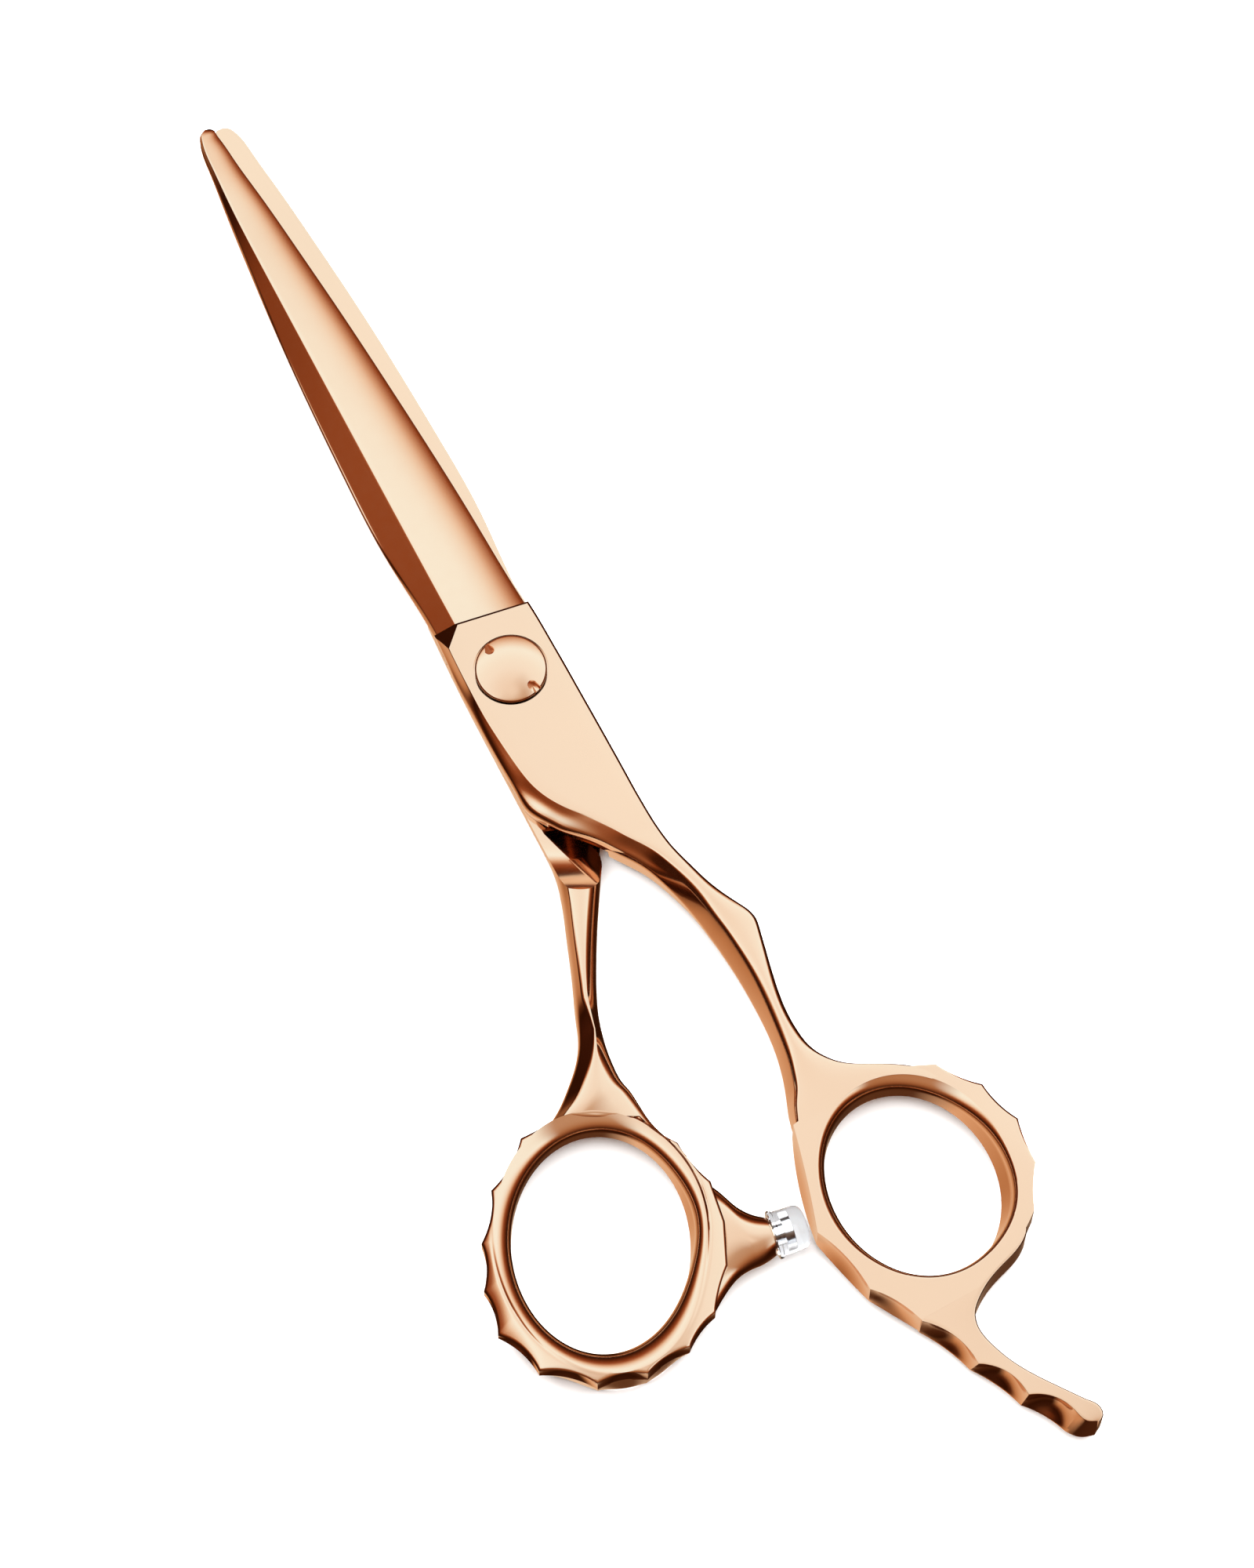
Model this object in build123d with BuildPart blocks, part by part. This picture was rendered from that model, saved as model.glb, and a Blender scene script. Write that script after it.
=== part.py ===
"""Hair cutting shears, 6.5 inch, offset handle with a fixed finger rest.

Frame: lying flat and closed on a table. Origin on the pivot axis in the table plane,
+Y to the blade tips, +X to the finger ring, +Z up to the screw head. Millimetres.
"""
import os
from math import asin, cos, radians, sin

from build123d import *

# ---- driving dimensions -------------------------------------------------------------
RIDE_Z = 3.6          # plane on which the two halves slide
RIDE_GAP = 0.02       # each half keeps this distance from the ride plane
PLATE_T = 3.0         # thickness of each pivot plate
SLAB_T = 0.8          # upright part of the plate edge next to the ride plane
EDGE_T = 0.12         # thickness left at the cutting edge
TIP_Y = 77.7

BORE_R = 2.7          # bore of the finger half, takes the bush
BUSH_BORE_R = 2.13
CBORE_R = 4.25        # recess below the screw head
CBORE_Z = 6.1
HEAD_R = 4.05
HEAD_Z = 6.66
HEAD_RIM = 0.32
HEAD_TOP = 7.62
NOTCH_TURN = 112      # direction of the first driver notch in the head
NOTCH_W = 1.1
NOTCH_L = 1.35
SHOULDER_R = 2.1
SHOULDER_Z = 3.9
THREAD_R = 1.5
THREAD_END_Z = 0.6
NUT_R = 2.8
NUT_FLAT = 2.4        # distance of the anti-rotation flats from the axis
NUT_TOP_Z = 3.45
NUT_FLANGE_R = 3.9
NUT_FLANGE_T = 0.6
NUT_BORE_R = 1.55
NUT_FLOOR = 0.35

RING_LOW = 0.0
RING_HIGH = 6.6
RING_ROUND = 1.2
FINGER_HOLE = (12.2, -73.2, 9.2, 11.05, 2.0)     # x, y, two half widths, turn
THUMB_HOLE = (-21.1, -63.7, 9.75, 12.5, -24.5)

BOSS_END = (-3.95, -71.1, 3.5)     # middle of the end face that carries the bumper
BOSS_TURN = -8                    # direction of the boss axis, degrees from +X
BUMPER_R = 2.55
BUMPER_LIP_R = 2.75
BUMPER_L = 3.85
STUD_R = 0.9
STUD_DEPTH = 4.0
STUD_HEAD_R = 1.5

# blade: distance from pivot, spine, ridge, cutting edge, height of ridge, of spine
BLADE = [
    (6.5, -5.5, -3.0, 5.6, 2.75, 0.9),
    (20.0, -6.1, -3.0, 4.95, 2.65, 0.9),
    (35.0, -5.85, -2.95, 4.0, 2.45, 0.85),
    (50.0, -5.0, -2.85, 2.9, 2.1, 0.8),
    (62.0, -3.95, -2.75, 1.7, 1.75, 0.7),
    (70.0, -3.15, -2.5, 0.9, 1.45, 0.6),
    (75.5, -2.45, -1.9, 0.35, 1.15, 0.5),
    (TIP_Y, -1.2, -0.9, -0.1, 0.8, 0.4),
]

# plate and shank of the finger half, from the blade down to the ring
FINGER_LEFT = [
    (-5.5, 7.4), (-6.1, 2), (-6.2, -8), (-5.8, -14.5), (-4, -18), (-1, -21), (2, -26),
    (4, -30.2), (5.3, -35), (6.1, -41), (6.3, -47), (6.0, -52), (5.0, -58),
]
FINGER_TOP_LEFT = [
    (-4.9, 6.4), (-5.3, 0), (-5.1, -6), (-3.5, -14), (-2, -18), (0.5, -22), (3, -26),
    (5, -30), (6.5, -34), (7.5, -39), (7.8, -44), (7.4, -49), (6.8, -54), (5.8, -58.5),
]
FINGER_RIGHT = [
    (11.8, -60), (10.1, -56.5), (9.1, -52), (9.2, -48), (10, -44), (10.9, -40),
    (10.9, -38), (9.7, -35.8), (8.2, -32.5), (6.7, -27.5), (6.0, -22), (5.9, -12),
    (5.8, -2), (5.5, 7.4),
]
# the part of the finger shank that reaches down beside the other half
FINGER_LOW_LEFT = [
    (1.4, -23.2), (2.5, -26), (4.3, -30.2), (5.6, -35), (6.4, -41), (6.6, -47),
    (6.3, -52), (5.3, -58.5),
]
FINGER_LOW_RIGHT = [
    (11.4, -60.3), (9.8, -56.5), (8.8, -52), (8.9, -48), (9.7, -44), (10.6, -40),
    (10.6, -38), (9.4, -35.8), (7.9, -32.5), (6.4, -27.5), (5.8, -23.2),
]
FINGER_SHOULDER = [
    (5.6, -25), (5.6, -16.8), (4.7, -18.2), (3.2, -20), (1.7, -21.6), (1.6, -22.8),
    (2.4, -25),
]

# plate and shank of the thumb half, seen in the same frame
THUMB_LEFT = [
    (-5.5, 7.4), (-5.8, -2), (-5.9, -12), (-6.0, -20), (-6.5, -24), (-8.5, -30),
    (-11.4, -38), (-13, -42), (-15.5, -45.7), (-19.5, -48.9),
]
THUMB_RIGHT = [
    (-9.4, -54.5), (-10.2, -51.5), (-10.4, -48), (-10, -43), (-8.7, -39), (-6.9, -35),
    (-4.9, -31.3), (-3.1, -28), (-1.5, -25.5), (1, -21), (4, -18), (5.8, -14.5),
    (6.2, -8), (6.1, 2), (5.5, 7.4),
]

# the part of the thumb shank that reaches up beside the other half
THUMB_HIGH_LEFT = [
    (-6.1, -23.2), (-8.2, -30), (-11.1, -38), (-12.7, -42), (-15.2, -45.3), (-19, -48.9),
]
THUMB_HIGH_RIGHT = [
    (-9.9, -54.2), (-10.5, -51.5), (-10.7, -48), (-10.3, -43), (-9, -39), (-7.2, -35),
    (-5.2, -31.3), (-3.4, -28), (-1.9, -25.5), (-1.2, -23.2),
]
THUMB_SHOULDER = [
    (-5.8, -25), (-5.7, -16.7), (-4.7, -18.2), (-3.2, -20), (-1.6, -21.6), (-1.5, -22.8),
    (-2.2, -25),
]

# outer corners of the facets around each ring, of the finger rest and of the boss
FINGER_RING = [
    (0.5, -68.3), (0.1, -72), (0.3, -76), (2.1, -82.3), (4.4, -86.2), (7, -87.5),
    (13, -87.6), (18.5, -85.7), (22.4, -82.1), (24.9, -77.5), (25.6, -72.2),
    (24, -66.8), (20.6, -62.4), (16.3, -59.2), (11.5, -58), (6, -59), (3, -61),
]
FINGER_REST = [
    (2.1, -82.3), (5.1, -88), (8.1, -94.5), (11, -100.4), (14, -104.9), (16.5, -106.2),
    (18, -105.8), (18.4, -104.6), (15, -99.3), (12.5, -95.8), (11.2, -93), (11, -90.7),
    (11.8, -88.8), (14.5, -87), (10, -85.5), (5, -83),
]
THUMB_RING = [
    (-23.8, -49.2), (-29.3, -53), (-33, -58), (-35.1, -62.8), (-35.9, -68), (-33.8, -74),
    (-29, -78.1), (-23.6, -79.7), (-18, -79.2), (-13, -76), (-9, -70), (-7.3, -63.5),
    (-8.4, -57.5), (-10.3, -52), (-12.5, -48.5), (-18, -48),
]
BOSS = [
    (-13, -70), (-14, -76.2), (-10, -74.4), (-8, -74), (-5.4, -74.1), (-4.2, -72.9),
    (-3.8, -69.3), (-5.6, -67.7), (-6.5, -66), (-7.3, -63.5), (-11, -62.5),
]


def cross_plane(y):
    """Plane across the blades, with its x along X and its y along Z."""
    return Plane(origin=(0, y, 0), x_dir=(1, 0, 0), z_dir=(0, -1, 0))


def away(side, x, height):
    """A point of a blade section. The halves mirror each other about the ride plane."""
    return (side * x, RIDE_Z + side * (RIDE_GAP + height))


def blade(side):
    """Hollow-backed blade with a ridge: side 1 is the upper, side -1 the lower one."""
    sections = []
    for y, spine, ridge, edge, ridge_t, spine_t in BLADE:
        with BuildSketch(cross_plane(y)) as section:
            with BuildLine():
                Polyline(
                    away(side, spine, 0),
                    away(side, spine, spine_t),
                    away(side, ridge, ridge_t),
                    away(side, edge, EDGE_T),
                    away(side, edge, 0),
                    close=True,
                )
            make_face()
        sections.append(section.sketch)
    loft(sections=sections, ruled=True)


def strip(left, right, z):
    """Face between two smooth sides at height z."""
    with BuildSketch(Plane.XY.offset(z)) as face:
        with BuildLine():
            down = Spline(*left)
            up = Spline(*right)
            Line(down @ 1, up @ 0)
            Line(up @ 1, down @ 0)
        make_face()
    return face.sketch


def polygon(points, z):
    """Face with straight sides at height z."""
    with BuildSketch(Plane.XY.offset(z)) as face:
        with BuildLine():
            Polyline(*points, close=True)
        make_face()
    return face.sketch


def shift(points, dx):
    """The same side moved along X."""
    return [(x + dx, y) for x, y in points]


def bevelled(left, right, top_left, top_right, side, gap=RIDE_GAP):
    """Half the thickness: an upright slab, then a bevel up to a narrower outer face."""
    start = RIDE_Z + side * gap
    knee = RIDE_Z + side * SLAB_T
    face = RIDE_Z + side * PLATE_T
    extrude(strip(left, right, start), amount=side * (SLAB_T - gap))
    loft(sections=[strip(left, right, knee), strip(top_left, top_right, face)])


def facets(points, low, high, waist, taper):
    """Faceted body, widest at its waist and narrower to both faces."""
    extrude(polygon(points, waist), amount=high - waist, taper=taper)
    extrude(polygon(points, waist), amount=low - waist, taper=taper)


def chamfered(points, low, high, size):
    """Straight-sided block with its upper and lower rims chamfered."""
    with BuildPart() as block:
        extrude(polygon(points, low), amount=high - low)
        rims = edges().group_by(Axis.Z)
        chamfer(rims[0] + rims[-1], size)
    return block.part


def bore(hole):
    """Oval finger hole through the full height, its rims rounded to a soft wall."""
    x, y, across, along, turn = hole
    with BuildSketch(Plane.XY.offset(-1)) as oval:
        with Locations(Location((x, y), turn)):
            Ellipse(across, along)
    before = edges()
    extrude(oval.sketch, amount=10, mode=Mode.SUBTRACT)
    rims = [e for e in edges() - before if e.length > 2 * (across + along)]
    fillet(rims, RING_ROUND)


def turned(radius, low, high, mode=Mode.ADD):
    """Round body on the pivot axis between two heights."""
    with BuildSketch(Plane.XY.offset(low)) as disc:
        Circle(radius)
    extrude(disc.sketch, amount=high - low, mode=mode)


def along_boss(start, radius, length, mode=Mode.ADD):
    """Round body on the boss axis, from a distance beyond the end face."""
    angle = radians(BOSS_TURN)
    direction = (cos(angle), sin(angle), 0)
    plane = Plane(origin=BOSS_END, z_dir=direction).offset(start)
    with BuildSketch(plane) as disc:
        Circle(radius)
    extrude(disc.sketch, amount=length, mode=mode)


# ---- finger half: upper blade, finger ring and finger rest ---------------------------
with BuildPart() as finger_ring:
    facets(FINGER_RING, RING_LOW, RING_HIGH, 3.4, 20)
    add(chamfered(FINGER_REST, 1.0, 6.0, 0.7))
    bore(FINGER_HOLE)

with BuildPart() as finger_blade:
    blade(1)
    bevelled(FINGER_LEFT, FINGER_RIGHT, FINGER_TOP_LEFT, shift(FINGER_RIGHT, -0.3), 1)
    bevelled(
        FINGER_LOW_LEFT,
        FINGER_LOW_RIGHT,
        shift(FINGER_LOW_LEFT, 1.1),
        shift(FINGER_LOW_RIGHT, -0.6),
        -1,
        gap=-RIDE_GAP,
    )
    extrude(polygon(FINGER_SHOULDER, RIDE_Z + RIDE_GAP), amount=-SLAB_T)
    add(finger_ring.part)
    turned(BORE_R, 0, 8, Mode.SUBTRACT)
    turned(CBORE_R, CBORE_Z, 8, Mode.SUBTRACT)

# ---- thumb half: lower blade, thumb ring and the boss of the bumper -------------------
with BuildPart() as thumb_ring:
    facets(THUMB_RING, RING_LOW, RING_HIGH, 3.4, 20)
    add(chamfered(BOSS, 1.2, 5.8, 0.7))
    bore(THUMB_HOLE)

with BuildPart() as thumb_blade:
    blade(-1)
    bevelled(THUMB_LEFT, THUMB_RIGHT, shift(THUMB_LEFT, 0.4), shift(THUMB_RIGHT, -0.9), -1)
    bevelled(
        THUMB_HIGH_LEFT,
        THUMB_HIGH_RIGHT,
        shift(THUMB_HIGH_LEFT, 0.9),
        shift(THUMB_HIGH_RIGHT, -0.7),
        1,
        gap=-RIDE_GAP,
    )
    extrude(polygon(THUMB_SHOULDER, RIDE_Z - RIDE_GAP), amount=SLAB_T)
    add(thumb_ring.part)
    along_boss(-STUD_DEPTH, STUD_R, STUD_DEPTH + 1, Mode.SUBTRACT)
    with BuildSketch(Plane.XY) as nut_seat:
        Circle(NUT_R)
        Rectangle(2 * NUT_FLAT, 3 * NUT_R, mode=Mode.INTERSECT)
    extrude(nut_seat.sketch, amount=RIDE_Z, mode=Mode.SUBTRACT)

# ---- pivot hardware -------------------------------------------------------------------
with BuildPart() as pivot_bush:
    turned(BORE_R, RIDE_Z + 0.1, CBORE_Z)
    turned(BUSH_BORE_R, 0, 8, Mode.SUBTRACT)

with BuildPart() as tension_spring:
    turned(3.7, CBORE_Z + 0.02, CBORE_Z + 0.27)
    turned(2.3, 0, 8, Mode.SUBTRACT)

with BuildPart() as head_washer:
    turned(3.9, CBORE_Z + 0.29, HEAD_Z)
    turned(SHOULDER_R, 0, 8, Mode.SUBTRACT)

dome_h = HEAD_TOP - HEAD_Z - HEAD_RIM
dome_r = (HEAD_R**2 + dome_h**2) / (2 * dome_h)
half = asin(HEAD_R / dome_r) / 2
with BuildPart() as pivot_screw:
    with BuildSketch(Plane.XZ) as profile:
        with BuildLine():
            Polyline(
                (0, HEAD_TOP),
                (0, THREAD_END_Z),
                (THREAD_R - 0.25, THREAD_END_Z),
                (THREAD_R, THREAD_END_Z + 0.25),
                (THREAD_R, SHOULDER_Z),
                (SHOULDER_R, SHOULDER_Z),
                (SHOULDER_R, HEAD_Z),
                (HEAD_R, HEAD_Z),
                (HEAD_R, HEAD_Z + HEAD_RIM),
            )
            ThreePointArc(
                (HEAD_R, HEAD_Z + HEAD_RIM),
                (dome_r * sin(half), HEAD_TOP - dome_r * (1 - cos(half))),
                (0, HEAD_TOP),
            )
        make_face()
    revolve(profile.sketch, axis=Axis.Z)
    for turn in (NOTCH_TURN, NOTCH_TURN + 180):
        with BuildSketch(Plane.XY.offset(HEAD_Z + 0.25).rotated((0, 0, turn))) as notch:
            with Locations((HEAD_R, 0)):
                SlotOverall(2 * NOTCH_L, NOTCH_W)
        extrude(notch.sketch, amount=2, mode=Mode.SUBTRACT)

with BuildPart() as pivot_nut:
    with BuildSketch(Plane.XY) as body:
        Circle(NUT_R)
        Rectangle(2 * NUT_FLAT, 3 * NUT_R, mode=Mode.INTERSECT)
    extrude(body.sketch, amount=NUT_TOP_Z)
    turned(NUT_FLANGE_R, 0, NUT_FLANGE_T)
    turned(NUT_BORE_R, NUT_FLOOR, 8, Mode.SUBTRACT)

# ---- bumper between the rings -----------------------------------------------------------
with BuildPart() as bumper:
    along_boss(0.02, BUMPER_R, BUMPER_L)
    fillet(edges().filter_by(GeomType.CIRCLE).sort_by(Axis.X)[-1], 1.1)
    along_boss(0.02, BUMPER_LIP_R, 0.6)
    along_boss(0, STUD_R, 1.3, Mode.SUBTRACT)
    along_boss(1.2, STUD_HEAD_R, 1.0, Mode.SUBTRACT)

with BuildPart() as bumper_stud:
    along_boss(-STUD_DEPTH, STUD_R, STUD_DEPTH + 1.3)
    along_boss(1.2, STUD_HEAD_R, 1.0)

NODES = {
    "finger_blade": finger_blade,
    "thumb_blade": thumb_blade,
    "pivot_bush": pivot_bush,
    "pivot_screw": pivot_screw,
    "head_washer": head_washer,
    "tension_spring": tension_spring,
    "pivot_nut": pivot_nut,
    "bumper": bumper,
    "bumper_stud": bumper_stud,
}

os.makedirs("parts", exist_ok=True)
for name, node in NODES.items():
    node.part.label = name
    export_step(node.part, f"parts/{name}.step")
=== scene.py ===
"""Hair cutting shears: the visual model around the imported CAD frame."""

import math

import bmesh
import bpy
import numpy as np
from mathutils import Matrix, Vector


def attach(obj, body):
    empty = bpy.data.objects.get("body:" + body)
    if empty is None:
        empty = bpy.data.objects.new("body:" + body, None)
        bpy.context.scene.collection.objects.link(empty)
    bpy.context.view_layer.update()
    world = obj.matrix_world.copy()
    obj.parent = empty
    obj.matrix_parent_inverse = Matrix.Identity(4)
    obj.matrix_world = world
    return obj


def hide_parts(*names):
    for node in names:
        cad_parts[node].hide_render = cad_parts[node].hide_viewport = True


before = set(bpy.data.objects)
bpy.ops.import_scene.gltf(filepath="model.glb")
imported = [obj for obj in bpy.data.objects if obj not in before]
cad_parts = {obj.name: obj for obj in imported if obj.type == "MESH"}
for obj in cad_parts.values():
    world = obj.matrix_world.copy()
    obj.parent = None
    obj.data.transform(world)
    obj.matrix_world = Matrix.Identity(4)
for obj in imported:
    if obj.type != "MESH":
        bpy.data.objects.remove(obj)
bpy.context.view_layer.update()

# lengths are in millimetres up to mesh_object, which turns them into metres
MM = 0.001
RIDE = 3.6              # height of the plane the halves slide on
GAP = 0.02              # distance of each half from that plane
TOP = 6.6               # top of the finger half
REST_TOP = 6.5996       # just under TOP, so that no two faces lie in one plane
UNDERSIDE = 0.6
BORE_RADIUS = 2.7       # round the bush in the finger half
SEAT_RADIUS = 4.25      # recess for the washers under the screw head
SEAT_FLOOR = 6.1
NUT_RADIUS = 2.8        # hole for the nut in the thumb half
FAR = 9                 # beyond the shears, for cutters that go right through


# ---- smooth curves and lofted skins ---------------------------------------------------
def spline(knots, values, samples):
    """Natural cubic spline through values at knots, read at samples."""
    t = np.asarray(knots, float)
    v = np.asarray(values, float)
    shape = v.shape[1:]
    v = v.reshape(len(t), -1)
    n, h = len(t), np.diff(t)
    a = np.zeros((n, n))
    b = np.zeros((n, v.shape[1]))
    a[0, 0] = a[-1, -1] = 1
    for i in range(1, n - 1):
        a[i, i - 1 : i + 2] = h[i - 1], 2 * (h[i - 1] + h[i]), h[i]
        b[i] = 6 * ((v[i + 1] - v[i]) / h[i] - (v[i] - v[i - 1]) / h[i - 1])
    m = np.linalg.solve(a, b)
    s = np.asarray(samples, float)
    i = np.clip(np.searchsorted(t, s) - 1, 0, n - 2)
    w, g = h[i][:, None], (s - t[i])[:, None]
    slope = (v[i + 1] - v[i]) / w - w * (2 * m[i] + m[i + 1]) / 6
    out = v[i] + g * (slope + g * (m[i] / 2 + g * (m[i + 1] - m[i]) / (6 * w)))
    return out.reshape((len(s),) + shape)


def smooth_path(points, count):
    """The same number of points evenly along a smooth curve through a few."""
    p = np.asarray(points, float)
    d = np.concatenate([[0], np.cumsum(np.linalg.norm(np.diff(p, axis=0), axis=1))])
    return spline(d, p, np.linspace(0, d[-1], count))


def mesh_object(name, verts, faces):
    """A mesh object from points in millimetres."""
    mesh = bpy.data.meshes.new(name)
    mesh.from_pydata((np.asarray(verts) * MM).tolist(), [], [list(map(int, f)) for f in faces])
    mesh.update()
    bm = bmesh.new()
    bm.from_mesh(mesh)
    bmesh.ops.remove_doubles(bm, verts=bm.verts, dist=1e-7)
    bmesh.ops.dissolve_degenerate(bm, edges=bm.edges, dist=1e-8)
    bmesh.ops.recalc_face_normals(bm, faces=bm.faces)
    bm.to_mesh(mesh)
    bm.free()
    obj = bpy.data.objects.new(name, mesh)
    bpy.context.scene.collection.objects.link(obj)
    return obj


def skin(name, loops, around=False):
    """Quads between closed loops of points: capped at both ends, or joined end to start."""
    loops = np.asarray(loops, float)
    s, m, _ = loops.shape
    verts = loops.reshape(-1, 3)
    faces = []
    for i in range(s if around else s - 1):
        j = (i + 1) % s
        for k in range(m):
            q = (k + 1) % m
            faces.append((i * m + k, i * m + q, j * m + q, j * m + k))
    if not around:
        verts = np.vstack([verts, loops[0].mean(0), loops[-1].mean(0)])
        first, last = s * m, s * m + 1
        for k in range(m):
            q = (k + 1) % m
            faces.append((first, q, k))
            faces.append((last, (s - 1) * m + k, (s - 1) * m + q))
    return mesh_object(name, verts, faces)


def profile(corners, bulge, radius, steps=6, round_steps=4, power=2):
    """Closed sections from corner points: sides bowed by bulge, corners rounded by radius.

    corners is stations x corners x 3; bulge, radius and power are per corner, or per station
    too. A power above 2 moves the bow towards the end of its side.
    """
    c = np.asarray(corners, float)
    s, k, _ = c.shape
    bulge = np.broadcast_to(np.asarray(bulge, float), (s, k))
    radius = np.broadcast_to(np.asarray(radius, float), (s, k))
    power = np.broadcast_to(np.asarray(power, float), (s, k))
    nxt = np.roll(c, -1, axis=1)
    edge = nxt - c
    length = np.maximum(np.linalg.norm(edge, axis=2), 1e-9)
    area = np.cross(c - c.mean(1, keepdims=True), nxt - c.mean(1, keepdims=True)).sum(1)
    area /= np.linalg.norm(area, axis=1, keepdims=True)
    out = np.cross(edge, area[:, None, :])
    out /= np.maximum(np.linalg.norm(out, axis=2, keepdims=True), 1e-9)
    start = np.clip(radius / length, 0, 0.45)
    end = 1 - np.clip(np.roll(radius, -1, axis=1) / length, 0, 0.45)

    def on_side(i, t):
        bow = 4 * bulge[:, i] * (t - t ** power[:, i])
        return c[:, i] + edge[:, i] * t[:, None] + out[:, i] * bow[:, None]

    rows = []
    for i in range(k):
        before, after = on_side(i - 1, end[:, i - 1]), on_side(i, start[:, i])
        for j in range(1, round_steps):
            t = j / round_steps
            rows.append((1 - t) ** 2 * before + 2 * t * (1 - t) * c[:, i] + t * t * after)
        for j in range(steps + 1):
            t = start[:, i] + (end[:, i] - start[:, i]) * j / steps
            rows.append(on_side(i, t))
    return np.stack(rows, axis=1)


def boolean(target, cutter, operation="DIFFERENCE"):
    """Applies a boolean with another object to the target and removes that object."""
    modifier = target.modifiers.new("cut", "BOOLEAN")
    modifier.object = cutter
    modifier.operation = operation
    modifier.solver = "MANIFOLD"
    graph = bpy.context.evaluated_depsgraph_get()
    mesh = bpy.data.meshes.new_from_object(target.evaluated_get(graph))
    target.modifiers.clear()
    old = target.data
    target.data = mesh
    bpy.data.meshes.remove(old)
    bpy.data.objects.remove(cutter)


def circles(outline, segments=96):
    """Loops of a turned shape about Z from (radius, height) points."""
    angles = np.arange(segments) * 2 * math.pi / segments
    c, s = np.cos(angles), np.sin(angles)
    return [np.stack([r * c, r * s, np.full(segments, float(z))], axis=1) for r, z in outline]


def prism(name, points, low, high):
    """Straight block over an outline between two heights."""
    p = np.asarray(points, float)
    loops = [np.c_[p, np.full(len(p), z)] for z in (low, high)]
    return skin(name, loops)


def slab(name, point, normal, size=60, depth=30):
    """Block that fills the side of a plane its normal points to."""
    n = Vector(normal).normalized()
    turn = n.to_track_quat("Z", "Y").to_matrix()
    square = np.array([(-1, -1), (1, -1), (1, 1), (-1, 1)]) * size / 2
    loops = []
    for height in (0, depth):
        corners = [turn @ Vector((x, y, height)) + Vector(point) for x, y in square]
        loops.append(np.array([tuple(v) for v in corners]))
    return skin(name, loops)


# ---- blades -----------------------------------------------------------------------------
SPINE_STEP = 0.2        # upright part of the spine
EDGE_STEP = 0.14        # thickness left at the cutting edge
BOW = 0.012             # crown of the face for each millimetre of its width
TIP_FROM, TIP_LENGTH, TIP_BACK = 66, 12, 0.5    # the lower blade's tip ends a little short

# distance from pivot, spine, bevel edge and its height, ridge and its height, cutting edge
BLADE = [
    (5.0, -5.5, -5.25, 0.97, -3.0, 2.39, 5.7),
    (10.0, -5.5, -5.25, 0.88, -3.0, 2.3, 5.35),
    (20.0, -6.1, -5.85, 0.44, -3.0, 2.2, 4.95),
    (30.0, -6.0, -5.75, 0.36, -2.97, 2.05, 4.4),
    (40.0, -5.6, -5.38, 0.36, -2.93, 1.86, 3.7),
    (50.0, -5.0, -4.79, 0.42, -2.87, 1.63, 2.9),
    (60.0, -4.15, -3.96, 0.6, -2.8, 1.37, 1.95),
    (68.0, -3.35, -3.16, 0.55, -2.62, 1.1, 1.1),
    (73.0, -2.8, -2.66, 0.45, -2.35, 0.92, 0.5),
    (76.0, -2.4, -2.28, 0.4, -2.05, 0.76, 0.2),
    (77.2, -2.0, -1.9, 0.38, -1.74, 0.66, 0.08),
    (77.75, -1.55, -1.48, 0.34, -1.38, 0.54, -0.05),
    (78.0, -1.05, -1.0, 0.28, -0.95, 0.4, -0.35),
]


def blade(name, side):
    """Ridged blade on its side of the ride plane: 1 is the upper one, -1 the lower one."""
    rows = np.array(BLADE)
    y = np.concatenate([np.linspace(5, 73, 90), np.linspace(73.4, 77.2, 14), [77.5, 77.75, 77.9, 78]])
    rows = spline(rows[:, 0], rows[:, 1:], y)
    loops, bulge = [], []
    for at, (spine, bevel, bevel_t, ridge, ridge_t, edge) in zip(y, rows):
        corners = [
            (spine, 0), (spine, SPINE_STEP), (bevel, bevel_t), (ridge, ridge_t),
            (edge, EDGE_STEP), (edge, 0),
        ]
        if side < 0:
            at -= TIP_BACK * max(0, (at - TIP_FROM) / TIP_LENGTH) ** 2
        loops.append([(side * x, at, RIDE + side * (GAP + t)) for x, t in corners])
        bulge.append([0, 0.02, 0.0, BOW * (edge - ridge), 0, 0])
    radius = [0.03, 0.05, 0.05, 0.06, 0.03, 0.03]
    return skin(name, profile(loops, bulge, radius, steps=16, power=[2, 2, 2, 4, 2, 2]))


# ---- rings ------------------------------------------------------------------------------
class Oval:
    """The oval of a finger hole: x, y, half width, half length, turn in degrees."""

    def __init__(self, x, y, across, along, turn):
        self.centre = np.array([x, y])
        self.across = across
        self.along = along
        self.turn = math.radians(turn)

    def reach(self, ray):
        """Distance from the centre to the oval along a direction."""
        c, s = math.cos(self.turn), math.sin(self.turn)
        local = (c * ray[0] + s * ray[1], -s * ray[0] + c * ray[1])
        return 1 / math.hypot(local[0] / self.across, local[1] / self.along)

    def outline(self, grow, count=180):
        """Points round the oval, moved outward by grow, a function of direction."""
        points = []
        for angle in np.arange(count) * 2 * math.pi / count:
            ray = np.array([math.cos(angle), math.sin(angle)])
            points.append(self.centre + ray * (self.reach(ray) + grow(angle)))
        return points


def lobe(angle, towards, width=1.0):
    """1 in one direction, falling smoothly to 0 on the far side."""
    turn = (angle - math.radians(towards) + math.pi) % (2 * math.pi) - math.pi
    return math.exp(-((turn / width) ** 2))


def curve(a, b, c, d, count=21):
    """Points along a cubic Bezier curve."""
    a, b, c, d = (np.array(p) for p in (a, b, c, d))
    return [
        a * (1 - t) ** 3 + 3 * b * t * (1 - t) ** 2 + 3 * c * t * t * (1 - t) + d * t**3
        for t in np.linspace(0, 1, count)
    ]


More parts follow.
